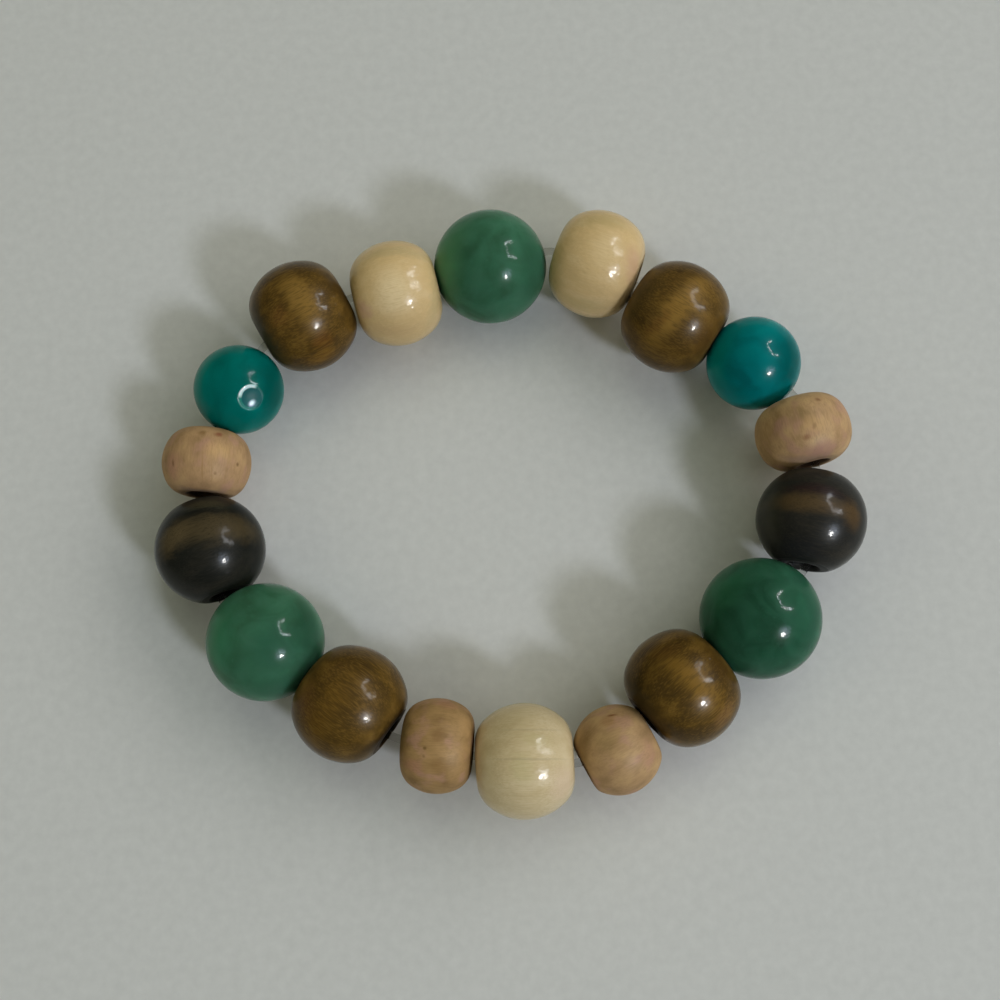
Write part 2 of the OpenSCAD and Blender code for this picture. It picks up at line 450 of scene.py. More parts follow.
    def fibred(
        self, colour: Socket, figure: Socket, dark: tuple[str, float], light: tuple[str, float]
    ) -> Socket:
        """Draw fine lines, which fade where the wood is cut across its fibres.

        Args:
            colour: the wood's colour.
            figure: the figure that the lines are picked from, the dark ones where it is high.
            dark: colour and share of the dark lines.
            light: colour and share of the light lines.

        Returns:
            The colour with its lines.
        """
        away = self.from_middle(self.turn)
        across, lengthwise = CUT_ACROSS * self.half_length, LENGTHWISE * self.half_length
        for (tint, share), full in ((dark, DARK_FULL), (light, LIGHT_FULL)):
            cut = {"Value": away, "From Min": across, "From Max": lengthwise, "To Max": share}
            shown = add_node(self.tree, "ShaderNodeMapRange", cut, interpolation_type="SMOOTHSTEP")
            colour = self.tinted(colour, tint, figure, LINES_BEGIN, full, shown.outputs[0])
        return colour

    def bared_and_shaded(self, colour: Socket, hole: str, end_share: float) -> tuple[Socket, Socket]:
        """Bare the wood in the hole and on the flat ends, which have no polish, and paint shade there.

        Args:
            colour: the colour outside.
            hole: the colour in the hole, a painted shade, as sRGB hex.
            end_share: how much of it the flat ends have.

        Returns:
            The colour with both, and where the wood is bare: 1 in the hole, less on the ends.
        """
        flat = {0: self.laid_along(), 1: (0, 1, 1)}
        across = add_node(self.tree, "ShaderNodeVectorMath", flat, operation="MULTIPLY").outputs[0]
        away = add_node(self.tree, "ShaderNodeVectorMath", {0: across}, operation="LENGTH").outputs["Value"]
        polished = {"Value": away, "From Min": POLISHED_R, "From Max": BARE_R}
        in_hole = add_node(self.tree, "ShaderNodeMapRange", polished, interpolation_type="SMOOTHSTEP")
        rim, end = self.half_length - POLISHED_DEPTH, self.half_length - BARE_DEPTH
        rubbed = {"Value": self.from_middle(), "From Min": rim, "From Max": end, "To Max": end_share}
        on_ends = add_node(self.tree, "ShaderNodeMapRange", rubbed, interpolation_type="SMOOTHSTEP")
        both = {0: in_hole.outputs[0], 1: on_ends.outputs[0]}
        bare = add_node(self.tree, "ShaderNodeMath", both, operation="MAXIMUM").outputs[0]
        mix = {MIX_SHARE: bare, MIX_BELOW: colour, MIX_ABOVE: linear(hole)}
        return add_node(self.tree, "ShaderNodeMix", mix, data_type="RGBA").outputs[MIXED], bare


@dataclass(frozen=True)
class Finish:
    """What all the finishes share.

    Attributes:
        slot: name of its material slot, not used.
        seed: shifts the patterns, so that no two beads show the same stretch of them.
        marks_and_shading: patches of other colours, many of them painted light and shade.
        grain_turn: degrees that the grain is turned in the loop's plane, away from the hole.
    """

    slot: str
    seed: int = 0
    marks_and_shading: tuple[MarkAndShadePatch, ...] = ()
    grain_turn: float = 0

    def material(
        self, name: str, centre: Vector, heading: float = 0, half_length: float = 1
    ) -> bpy.types.Material:
        """Make the finish's material for one bead.

        Args:
            name: the bead's name.
            centre: the bead's middle.
            heading: the heading of its hole, in radians.
            half_length: distance from its middle to its flat ends, in metres.

        Returns:
            The material, complete.
        """
        material = bpy.data.materials.new(f"{type(self).__name__}_{name}")
        material.use_nodes = True
        tree = material.node_tree
        tree.nodes.clear()
        shader = add_node(tree, "ShaderNodeBsdfPrincipled")
        add_node(tree, "ShaderNodeOutputMaterial", {"Surface": shader.outputs["BSDF"]})
        canvas = Canvas(tree, picture_axes(centre), heading, self.seed, self.grain_turn, half_length)
        self.paint(canvas, shader)
        return material

    def paint(self, canvas: Canvas, shader: bpy.types.Node) -> None:
        """Feed the shader. Each finish says how.

        Args:
            canvas: where the patterns are drawn.
            shader: the surface shader.
        """
        raise NotImplementedError


@dataclass(frozen=True)
class RimHighlight:
    """Stretch of a pit's edge with a painted highlight, where its rounded rim catches the light.

    Attributes:
        colour: its colour, as sRGB hex.
        towards: degrees round the pit to its middle, from the picture's right.
        start: where it begins, as the cosine of the angle from its middle.
        end: the cosine where it is full.
        share: how much of its colour is laid on there.
    """

    colour: str
    towards: float
    start: float
    end: float
    share: float

    def way(self) -> tuple[float, float, float]:
        """Give the direction from the pit's middle to the middle of the stretch."""
        turn = math.radians(self.towards)
        return (math.cos(turn), math.sin(turn), 0)


@dataclass(frozen=True)
class Pit:
    """How the stone looks in and round a ground pit, seen as in the picture.

    Attributes:
        right: the pit's middle right of the bead's middle, in bead radii.
        up: the same upwards.
        radius: the pit's radius, in bead radii.
        softness: how far in from its edge the floor's colour is full.
        edge_in: how far in from its edge the line of painted highlight lies.
        edge_w: how far that line fades out to each side.
        edge_core: how far it is full.
        edges: the stretches of its edge that carry the painted highlight.
        floor: colour of its floor, partly its own greyer tone and partly painted reflection.
        floor_share: how much of that colour is laid on.
        painted_glint: a painted highlight, the lamp's reflection in its lowest corner.
        tilt: degrees that its floor leans down in the picture.
        bead_r: the bead's radius, in metres.
    """

    right: float = 0.268
    up: float = -0.178
    radius: float = 0.276
    softness: float = 0.06
    edge_in: float = 0.02
    edge_w: float = 0.05
    edge_core: float = 0.018
    edges: tuple[RimHighlight, ...] = (
        # Painted highlights on the rim: a faint one to the lower left, a bright white one to the upper left
        RimHighlight("#2f9c8c", 215, -0.1, 0.6, 0.6),
        RimHighlight("#e4fffa", 120, 0.44, 0.76, 1.0),
    )
    floor: str = "#226c72"
    floor_share: float = 0.6
    # A painted glint: the lamp's reflection in the pit's floor
    painted_glint: MarkAndShadePatch = MarkAndShadePatch("#b8eaed", 0.28, -0.3, 0.13, 0.09, 30, 0.75, 0.06)
    tilt: float = 5
    bead_r: float = 4.7 * MM

    def spot(self, canvas: Canvas) -> tuple[Socket, Socket]:
        """Measure over the pit, in bead radii.

        Args:
            canvas: the bead's surface.

        Returns:
            The place over the pit, right and up in its first two values, and the distance from
            its middle.
        """
        place = add_node(canvas.tree, "ShaderNodeTexCoord").outputs["Object"]
        way = add_node(canvas.tree, "ShaderNodeVectorMath", {0: place}, operation="NORMALIZE").outputs[0]
        middle, turn, _ = MarkAndShadePatch(self.floor, self.right, self.up).shape(canvas.facing)
        over = {"Vector": way, "Location": middle, "Rotation": turn}
        laid = add_node(canvas.tree, "ShaderNodeMapping", over, vector_type="TEXTURE").outputs[0]
        flat = add_node(canvas.tree, "ShaderNodeVectorMath", {0: laid, 1: (1, 1, 0)}, operation="MULTIPLY")
        away = add_node(canvas.tree, "ShaderNodeVectorMath", {0: flat.outputs[0]}, operation="LENGTH")
        return flat.outputs[0], away.outputs["Value"]

    def painted(self, canvas: Canvas, colour: Socket) -> Socket:
        """Colour the floor of the pit and paint the highlights on its edge and the glint in its floor.

        Args:
            canvas: the bead's surface.
            colour: the colour of the stone.

        Returns:
            The colour with the pit.
        """
        tree = canvas.tree
        flat, away = self.spot(canvas)
        inner = self.radius - self.softness
        # The floor's tint, partly painted reflection
        colour = canvas.tinted(colour, self.floor, away, self.radius, inner, self.floor_share)
        line = {0: away, 1: self.radius - self.edge_in}
        beside = add_node(tree, "ShaderNodeMath", line, operation="SUBTRACT").outputs[0]
        off = add_node(tree, "ShaderNodeMath", {0: beside}, operation="ABSOLUTE").outputs[0]
        way = add_node(tree, "ShaderNodeVectorMath", {0: flat}, operation="NORMALIZE").outputs[0]
        # Painted highlight along each stretch of the rim
        for edge in self.edges:
            near = add_node(tree, "ShaderNodeVectorMath", {0: way, 1: edge.way()}, operation="DOT_PRODUCT")
            reach = {
                "Value": near.outputs["Value"],
                "From Min": edge.start,
                "From Max": edge.end,
                "To Max": edge.share,
            }
            laid = add_node(tree, "ShaderNodeMapRange", reach, interpolation_type="SMOOTHSTEP").outputs[0]
            colour = canvas.tinted(colour, edge.colour, off, self.edge_w, self.edge_core, laid)
        # The painted glint in the floor
        return canvas.marked_and_shaded(colour, (self.painted_glint,))

    def tilted(self, canvas: Canvas) -> Socket:
        """Lean the floor of the pit.

        Args:
            canvas: the bead's surface.

        Returns:
            The surface's direction.
        """
        flat, away = self.spot(canvas)
        up = add_node(canvas.tree, "ShaderNodeSeparateXYZ", {0: flat}).outputs[1]
        edge, floor = self.radius - self.edge_in, self.radius - self.edge_w
        over = {"Value": away, "From Min": edge, "From Max": floor}
        inside = add_node(canvas.tree, "ShaderNodeMapRange", over, interpolation_type="SMOOTHSTEP")
        both = {0: up, 1: inside.outputs[0]}
        slope = add_node(canvas.tree, "ShaderNodeMath", both, operation="MULTIPLY").outputs[0]
        lean = {"Height": slope, "Distance": math.tan(math.radians(self.tilt)) * self.bead_r, "Strength": 1}
        return add_node(canvas.tree, "ShaderNodeBump", lean).outputs[0]


@dataclass(frozen=True, kw_only=True)
class PolishedStone(Finish):
    """Dyed quartz stone, cut round, tumbled and polished to a glassy skin.

    Light goes a little way in and comes out again, so the ball looks milky and evenly lit, with
    soft clouds in the dye, and the lamp stands on it as a hard small spot.

    Attributes:
        deep: colour where the dye is strongest.
        body: the stone's main colour.
        milk: colour of its pale clouds.
        cloud: millimetres across a cloud.
        depth: millimetres that green light goes into the stone.
        reach: how far red, green and blue go in, against that.
        glow: share of the light that goes in.
        shine: how strongly the polish mirrors.
        skin: roughness of the polished surface.
        bloom: share of a soft second reflection, from fine polishing marks.
        pit: a pit in it, if it has one.
    """

    deep: str
    body: str
    milk: str
    cloud: float = 3.5
    depth: float
    reach: tuple[float, float, float] = (0.4, 1.0, 0.7)
    glow: float = 1
    shine: float = 0.041
    skin: float = 0.06
    bloom: float = 0.35
    pit: Pit | None = None

    def paint(self, canvas: Canvas, shader: bpy.types.Node) -> None:
        """Cloud the dye, light it from inside and polish the skin.

        Args:
            canvas: where the patterns are drawn.
            shader: the surface shader.
        """
        tree = canvas.tree
        clouds = canvas.figure(self.cloud, self.cloud, detail=3, swirl=0.8)
        dye = add_node(
            tree,
            "ShaderNodeValToRGB",
            {0: clouds.outputs[0]},
            stops=((0.32, self.deep), (0.5, self.body), (0.72, self.milk)),
        )
        flakes = canvas.figure(0.5, 0.35, detail=1, layer=1).outputs[0]
        flecked = canvas.tinted(dye.outputs[0], self.milk, flakes, 0.62, 0.75, 0.25)
        colour = canvas.marked_and_shaded(flecked, self.marks_and_shading)
        if self.pit:
            colour = self.pit.painted(canvas, colour)
            feed(shader, {"Normal": self.pit.tilted(canvas)})
        wear = {
            "Value": canvas.figure(2, 2, detail=4, layer=2).outputs[0],
            "From Min": 0.3,
            "From Max": 0.7,
            "To Min": self.skin * 0.7,
            "To Max": self.skin * 1.4,
        }
        feed(shader, {
            "Base Color": colour,
            "Roughness": add_node(tree, "ShaderNodeMapRange", wear).outputs[0],
            "IOR": 1.54,
            "Specular IOR Level": self.shine,
            "Coat Weight": self.bloom,
            "Coat Roughness": 0.3,
            "Coat IOR": SHEEN_IOR,
            "Subsurface Weight": self.glow,
            "Subsurface Radius": self.reach,
            "Subsurface Scale": self.depth * MM,
        })


@dataclass(frozen=True, kw_only=True)
class LacqueredWood(Finish):
    """Close-grained hardwood, turned, stained and dipped in clear gloss lacquer.

    The stain takes unevenly, so gold and dark bands lie along the grain with fine hair lines in
    them, and the lacquer's slightly uneven coat breaks up the lamp's reflection.

    Attributes:
        dark: colour of the dark bands.
        body: the wood's main colour.
        light: colour of the light bands.
        band: length and width of a band, in millimetres.
        hair: length and width of a hair line, in millimetres.
        hair_share: how dark the dark hair lines are.
        fleck_share: how light the light ones are.
        gloss: roughness of the lacquer.
        shine: how strongly the lacquer mirrors.
        sheen: share of a soft second reflection, from the grain under the lacquer.
        ripple: depth of the lacquer's unevenness, in millimetres.
        wave: length and width of that unevenness, in millimetres.
        hole: colour inside the hole, painted shade darker than the wood.
        end_share: how much of that colour the flat ends have, bare end grain under painted shade.
    """

    dark: str
    body: str
    light: str
    band: tuple[float, float] = (7, 1.8)
    hair: tuple[float, float]
    hair_share: float = 0.35
    fleck_share: float = 0.3
    gloss: float = 0.1
    shine: float = 0.041
    sheen: float = 0.7
    ripple: float = 0.02
    wave: tuple[float, float] = (0.5, 0.4)
    # Painted shade inside the hole
    hole: str = "#1d1710"
    end_share: float = 0.55

    def paint(self, canvas: Canvas, shader: bpy.types.Node) -> None:
        """Stain the bands, draw the hair lines and coat them with lacquer.

        Args:
            canvas: where the patterns are drawn.
            shader: the surface shader.
        """
        tree = canvas.tree
        bands = canvas.figure(*self.band, detail=3, swirl=0.15)
        stain = add_node(
            tree,
            "ShaderNodeValToRGB",
            {0: bands.outputs[0]},
            stops=((0.1, self.dark), (0.5, self.body), (0.9, self.light)),
        )
        colour = canvas.marked_and_shaded(stain.outputs[0], self.marks_and_shading, 0.5)
        hairs = canvas.figure(*self.hair, detail=2, layer=1)
        dark, light = (self.dark, self.hair_share), (self.light, self.fleck_share)
        colour = canvas.fibred(colour, hairs.outputs[0], dark, light)
        # Painted shade in the hole and on the flat ends, which are also bare and dull
        colour, bare = canvas.bared_and_shaded(colour, self.hole, self.end_share)
        dulled = {"Value": bare, "From Max": 0.8 * self.end_share, "To Min": self.gloss, "To Max": 0.9}
        waves = canvas.figure(*self.wave, detail=1.5, layer=2)
        coat = {"Height": waves.outputs[0], "Distance": self.ripple * MM, "Strength": 1}
        skin = add_node(tree, "ShaderNodeBump", coat).outputs[0]
        raised = {"Height": hairs.outputs[0], "Distance": 0.003 * MM, "Strength": 1, "Normal": skin}
        feed(shader, {
            "Base Color": colour,
            "Roughness": add_node(tree, "ShaderNodeMapRange", dulled).outputs[0],
            "Normal": add_node(tree, "ShaderNodeBump", raised).outputs[0],
            "Specular IOR Level": self.shine,
            "Coat Weight": self.sheen,
            "Coat Roughness": 0.36,
            "Coat IOR": SHEEN_IOR,
        })


@dataclass(frozen=True, kw_only=True)
class WaxedWood(Finish):
    """Plain hardwood, turned, sanded and rubbed with a little wax.

    There is no lacquer, so it is matt and shows its colour as it is: soft pink and olive
    mottling, and short dark pores that run along the hole.

    Attributes:
        shade: colour of the darker mottling.
        body: the wood's main colour.
        light: colour of the lighter mottling.
        blush: colour of the pink mottling.
        pore: length and width of a pore, in millimetres.
        pore_colour: colour of the pores.
        pore_share: how dark the pores are.
        hole: colour inside the hole, painted shade darker than the wood.
        end_share: how much of that colour the flat ends have, bare end grain under painted shade.
    """

    shade: str
    body: str
    light: str
    blush: str
    pore: tuple[float, float] = (0.8, 0.3)
    pore_colour: str = "#7a5634"
    pore_share: float = 0.12
    # Painted shade inside the hole
    hole: str = "#4d3a28"
    end_share: float = 0.3

    def paint(self, canvas: Canvas, shader: bpy.types.Node) -> None:
        """Mottle the wood, prick its pores and wax it.

        Args:
            canvas: where the patterns are drawn.
            shader: the surface shader.
        """
        tree = canvas.tree
        mottle = canvas.figure(2.6, 1.7, detail=4)
        wood = add_node(
            tree,
            "ShaderNodeValToRGB",
            {0: mottle.outputs[0]},
            stops=((0.3, self.shade), (0.5, self.body), (0.68, self.light)),
        )
        pink = canvas.figure(2.2, 1.9, detail=2, layer=1).outputs[0]
        colour = canvas.tinted(wood.outputs[0], self.blush, pink, 0.5, 0.72, 0.7)
        colour = canvas.marked_and_shaded(colour, self.marks_and_shading, 0.9)
        fibres = canvas.figure(1.3, 0.15, detail=2, layer=3).outputs[0]
        colour = canvas.fibred(colour, fibres, (self.shade, 0.28), (self.light, 0.22))
        pores = canvas.figure(*self.pore, detail=0, layer=2).outputs[0]
        colour = canvas.tinted(colour, self.pore_colour, pores, 0.7, 0.78, self.pore_share)
        # Painted shade in the hole and on the flat ends, which are also bare
        colour, _ = canvas.bared_and_shaded(colour, self.hole, self.end_share)
        sanded = {"Height": mottle.outputs[0], "Distance": 0.03 * MM, "Strength": 1}
        feed(shader, {
            "Base Color": colour,
            "Normal": add_node(tree, "ShaderNodeBump", sanded).outputs[0],
            "Roughness": 0.5,
            "Specular IOR Level": 0.06,
        })


@dataclass(frozen=True)
class ClearElastic(Finish):
    """Polyurethane jewellery elastic, extruded clear.

    It is so clear and soft-edged that it hides between the beads, with faint drawing lines along it.
    """

    def paint(self, canvas: Canvas, shader: bpy.types.Node) -> None:
        """Make the thread clear, with a faint haze in it.

        Args:
            canvas: where the patterns are drawn.
            shader: the surface shader.
        """
        tree = canvas.tree
        haze = canvas.figure(2, 0.3)
        milky = add_node(
            tree,
            "ShaderNodeValToRGB",
            {0: haze.outputs[0]},
            stops=((0.3, "#dcdcd8"), (0.7, "#ecece8")),
        )
        drawn = {"Height": haze.outputs[0], "Distance": 0.004 * MM, "Strength": 1}
        feed(shader, {
            "Base Color": milky.outputs[0],
            "Normal": add_node(tree, "ShaderNodeBump", drawn).outputs[0],
            "Roughness": 0.25,
            "IOR": 1.04,
            "Transmission Weight": 1,
        })


GREEN_STONE = PolishedStone(
    slot="green_stone",
    deep="#3a674b",
    body="#427357",
    milk="#4a7d60",
    depth=5,
)
TEAL_STONE = PolishedStone(
    slot="teal_stone",
    deep="#007272",
    body="#008080",
    milk="#048b88",
    depth=4,
    reach=(0.2, 1.0, 0.95),
)
BROWN_WOOD = LacqueredWood(
    slot="brown_wood",
    dark="#3f3018",
    body="#624a1d",
    light="#8e6d30",
    band=(4, 1.5),
    hair=(1.5, 0.14),
    hair_share=0.38,
    fleck_share=0.32,
)
DARK_WOOD = LacqueredWood(
    slot="dark_wood",
    dark="#222320",
    body="#302f2a",
    light="#423c30",
    grain_turn=90,
    hair=(1.3, 0.1),
    ripple=0.022,
    wave=(0.6, 0.4),
    # Painted shade inside the hole
    hole="#2b2b27",
)
IVORY_WOOD = LacqueredWood(
    slot="ivory_wood",
    dark="#dcbe86",
    body="#e6c78c",
    light="#efd49e",
    band=(7, 1.3),
    hair=(2.2, 0.11),
    hair_share=0.36,
    fleck_share=0.26,
    gloss=0.12,
    shine=0.09,
    ripple=0.055,
    wave=(0.7, 0.5),
    # Painted shade inside the hole
    hole="#4a3a22",
    end_share=0.25,
)
TAN_WOOD = WaxedWood(
    slot="tan_wood",
    shade="#a4845a",
    body="#c29e70",
    light="#d0ad7a",
    blush="#c0957a",
)
CLEAR_ELASTIC = ClearElastic(slot="elastic")


class Side(Enum):
    """Which of a bead's two mouths is meant: the one behind, or the one ahead."""

    BEHIND = -1
    AHEAD = 1


@dataclass
class Bead:
    """One bead of the string, measured from the frame.

    Attributes:
        node: the frame's node that it stands for, and its own name.
        finish: what its surface is.
        bore_d: diameter of its hole, in metres.
        turns: steps round its hole.
    """

    node: str
    finish: Finish
    bore_d: float = 0
    turns: int = 96
    centre: Vector = field(init=False)
    radius: float = field(init=False)
    half_length: float = field(init=False)
    heading: float = field(init=False, default=0)

    def __post_init__(self) -> None:
        """Take the bead's place and width from the frame."""
        low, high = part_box(self.node)
        self.centre = (low + high) / 2
        self.radius = (high.z - low.z) / 2
        self.half_length = self.radius

    def way(self) -> Vector:
        """Give the direction of the hole, towards the next bead."""
        return Vector((math.cos(self.heading), math.sin(self.heading), 0))

    def mouth(self, side: Side) -> Vector:
        """Give the middle of one of the hole's mouths."""
        return self.centre + side.value * self.half_length * self.way()

    def outline(self) -> Outline:
        """Give the half outline that the bead is turned from. Each kind of bead says how."""
        raise NotImplementedError

    def mesh(self) -> bpy.types.Mesh:
        """Turn the bead from its outline."""
        return lathe(self.node, self.outline(), self.turns)

    def build(self) -> bpy.types.Object:
        """Make the bead and dress it.

        Returns:
            The bead's piece.
        """
        mesh = self.mesh()
        mesh.transform(Matrix.Rotation(self.heading, 4, "Z"))
        paint = self.finish.material(self.node, self.centre, self.heading, self.half_length)
        mesh.materials.append(paint)
        return finished_mesh(self.node + "_dressed", mesh, self.centre, self.node)


@dataclass
class StoneBead(Bead):
    """Drilled ball with a small bevel at each mouth of its hole.

    Attributes:
        bore_d: diameter of its hole, in metres.
        bevel: width of that bevel, in metres.
    """

    bore_d: float = 1.2 * MM
    bevel: float = 0.15 * MM

    def outline(self) -> Outline:
        """Run along the hole, over the bevel and round the ball.

        Returns:
            The closed half outline.
        """
        bore_r = self.bore_d / 2
        mouth_r = bore_r + self.bevel
        mouth = math.sqrt(self.radius**2 - mouth_r**2)
        lean = math.atan2(mouth_r, mouth)
        wall = [(along * (mouth - self.bevel), bore_r) for along in (-1, -0.4, 0.4, 1)]
        return wall + arc((0, 0), self.radius, lean, math.pi - lean, 72)


@dataclass
class PittedStoneBead(StoneBead):
    """Stone bead with a shallow round pit ground into it.

    Attributes:
        pit_w: the pit's width, in metres.
        pit_dip: how far its floor dips below the plane of its rim.
        pit_lean: degrees between straight up and the pit's middle.
        pit_heading: where that lean points in the loop's plane, in degrees.
        wide_rim: height over which the rim is rounded on its widest side.
        narrow_rim: the same on its narrowest side.
        wide_towards: degrees round the pit, from the right, to its widest side.
    """

    pit_w: float = 2.6 * MM
    pit_dip: float = 0.12 * MM
    pit_lean: float = 39
    pit_heading: float = -46
    wide_rim: float = 0.05 * MM
    narrow_rim: float = 0.012 * MM
    wide_towards: float = 125

    def mesh(self) -> bpy.types.Mesh:
        """Turn the ball about the pit's middle, grind the pit and drill the hole.

        Returns:
            The bead's mesh, in its own frame.
        """
        rim = math.asin(self.pit_w / 2 / self.radius)
        # The rings lie close together only where the rim is
        spans = ((0, 0.6 * rim, 8), (0.6 * rim, 1.4 * rim, 40), (1.4 * rim, math.pi, 64))
        leans = [low + (high - low) * step / count for low, high, count in spans for step in range(count)]
        outline = [(self.radius * math.cos(a), self.radius * math.sin(a)) for a in leans]
        outline[0] = (self.radius, 0)
        outline.append((-self.radius, 0))
        mesh = lathe(self.node, outline, 144, shut=False)
        middle = towards(self.pit_heading - math.degrees(self.heading), 90 - self.pit_lean)
        rim_height = self.radius * math.cos(rim)
        grinder_r = ((self.pit_w / 2) ** 2 + self.pit_dip**2) / (2 * self.pit_dip)
        grinder_x = rim_height + grinder_r - self.pit_dip
        for vertex in mesh.vertices:
            ray = vertex.co.normalized()
            reach = ray.x * grinder_x
            inside = reach**2 - grinder_x**2 + grinder_r**2
            if ray.x <= 0 or inside <= 0:
                continue
            ground = reach - math.sqrt(inside)
            round_pit = math.atan2(ray.z, ray.y) - math.radians(self.wide_towards)
            share = 0.5 + 0.5 * math.cos(round_pit)
            soft = self.narrow_rim + (self.wide_rim - self.narrow_rim) * share
            # A smooth minimum of the ball and the pit rounds the rim over that height
            meet = max(soft - abs(self.radius - ground), 0) / soft
            vertex.co = ray * (min(self.radius, ground) - meet**2 * soft / 4)
        mesh.transform(middle.to_track_quat("X", "Z").to_matrix().to_4x4())
        return self.drilled(mesh)

    def drilled(self, mesh: bpy.types.Mesh) -> bpy.types.Mesh:
        """Cut the hole and its bevels out of a solid ball.

        Args:
            mesh: the ball.

        Returns:
            The drilled ball.
        """
        bore_r = self.bore_d / 2
        end = self.radius + MM
        flare = math.sqrt(self.radius**2 - (bore_r + self.bevel) ** 2) - self.bevel
        wide = bore_r + end - flare
        outline = [(-end, 0), (-end, wide), (-flare, bore_r), (flare, bore_r), (end, wide), (end, 0)]
        ball = bpy.data.objects.new("ball", mesh)
        drill = bpy.data.objects.new("drill", lathe("drill", outline, 48, shut=False))
        for thing in (ball, drill):
            bpy.context.scene.collection.objects.link(thing)
        cut = ball.modifiers.new("hole", "BOOLEAN")
        cut.operation = "DIFFERENCE"
        cut.solver = "EXACT"
        cut.object = drill
        bpy.context.view_layer.update()
        drilled = bpy.data.meshes.new_from_object(ball.evaluated_get(bpy.context.evaluated_depsgraph_get()))
        drilled.name = self.node
        for thing in (ball, drill):
            bpy.data.objects.remove(thing)
        return drilled


@dataclass
class WoodBead(Bead):
    """Ball cut flat at both ends, with rounded rims, a wide hole and countersunk mouths.

    Attributes:
        bore_d: diameter of its hole, in metres.
        sink: width of the countersink, in metres.
        flat_w: how much of each end stays flat round its countersink.
        edge_r: radius that softens the edges of the countersink.
        uneven: how far the turner's hand left the surface off a true ball.
    """

    bore_d: float = 3 * MM
    sink: float = 0.35 * MM
    flat_w: float = 0.1 * MM
    edge_r: float = 0.08 * MM
    uneven: float = 0.04 * MM

    def __post_init__(self) -> None:
        """Find the hole: across it lies the narrowest way over the bead, from flat to flat."""
        super().__post_init__()
        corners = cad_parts[self.node].data.vertices
        flat = np.array([(v.co.x - self.centre.x, v.co.y - self.centre.y) for v in corners])
        # Half a turn in steps of two degrees, then finer and finer steps about the best one
        guess, step = 0.0, math.radians(2)
        tries = [guess + step * i for i in range(90)]
        while step > math.radians(0.02):
            guess = min(tries, key=lambda a: np.abs(flat @ (math.cos(a), math.sin(a))).max())
            step /= 5
            tries = [guess + step * i for i in range(-5, 6)]
        self.heading = guess
        self.half_length = float(np.abs(flat @ (math.cos(guess), math.sin(guess))).max())

    def outline(self) -> Outline:
        """Run from the hole over the countersink, the flat and the rim, round the ball and back.

        Returns:
            The closed half outline.
        """
        half = self.half_length
        bore_r = self.bore_d / 2
        flat_r = bore_r + self.sink + self.flat_w
        # The rim's circle touches the flat from inside where it ends, and the ball too
        rim_r = (self.radius + half) / 2 - flat_r**2 / (2 * (self.radius - half))
        rim_x = half - rim_r
        meet = math.atan2(flat_r, rim_x)
        edge = self.edge_r
        # Each edge of the countersink turns by an eighth of a circle
        cut = edge * math.tan(math.pi / 8)
        inner = (half - self.sink - cut, bore_r + edge)
        outer = (half - edge, bore_r + self.sink + cut)
        end = [(0.5 * half, bore_r)]
        end += arc(inner, edge, -math.pi / 2, -math.pi / 4, 2)
        end += arc(outer, edge, -math.pi / 4, 0, 2)
        end += [(half, (flat_r + outer[1]) / 2)]
        end += arc((rim_x, flat_r), rim_r, 0, meet, 12)
        end += arc((0, 0), self.radius, meet, math.pi / 2, 26)[1:]
        back = [(-along, away) for along, away in reversed(end[:-1])]
        return end + back

    def mesh(self) -> bpy.types.Mesh:
        """Turn the bead, and leave it as uneven as a hand-sanded one.

        Returns:
            The bead's mesh, in its own frame.
        """
        mesh = super().mesh()
        shift = Vector((3, 5, 7)) * (self.finish.seed + 1)
        for vertex in mesh.vertices:
            bulge = noise.noise(vertex.co / (3.2 * MM) + shift)
            away = math.hypot(vertex.co.y, vertex.co.z) / self.radius
            vertex.co += vertex.co.normalized() * self.uneven * bulge * away**2
        return mesh


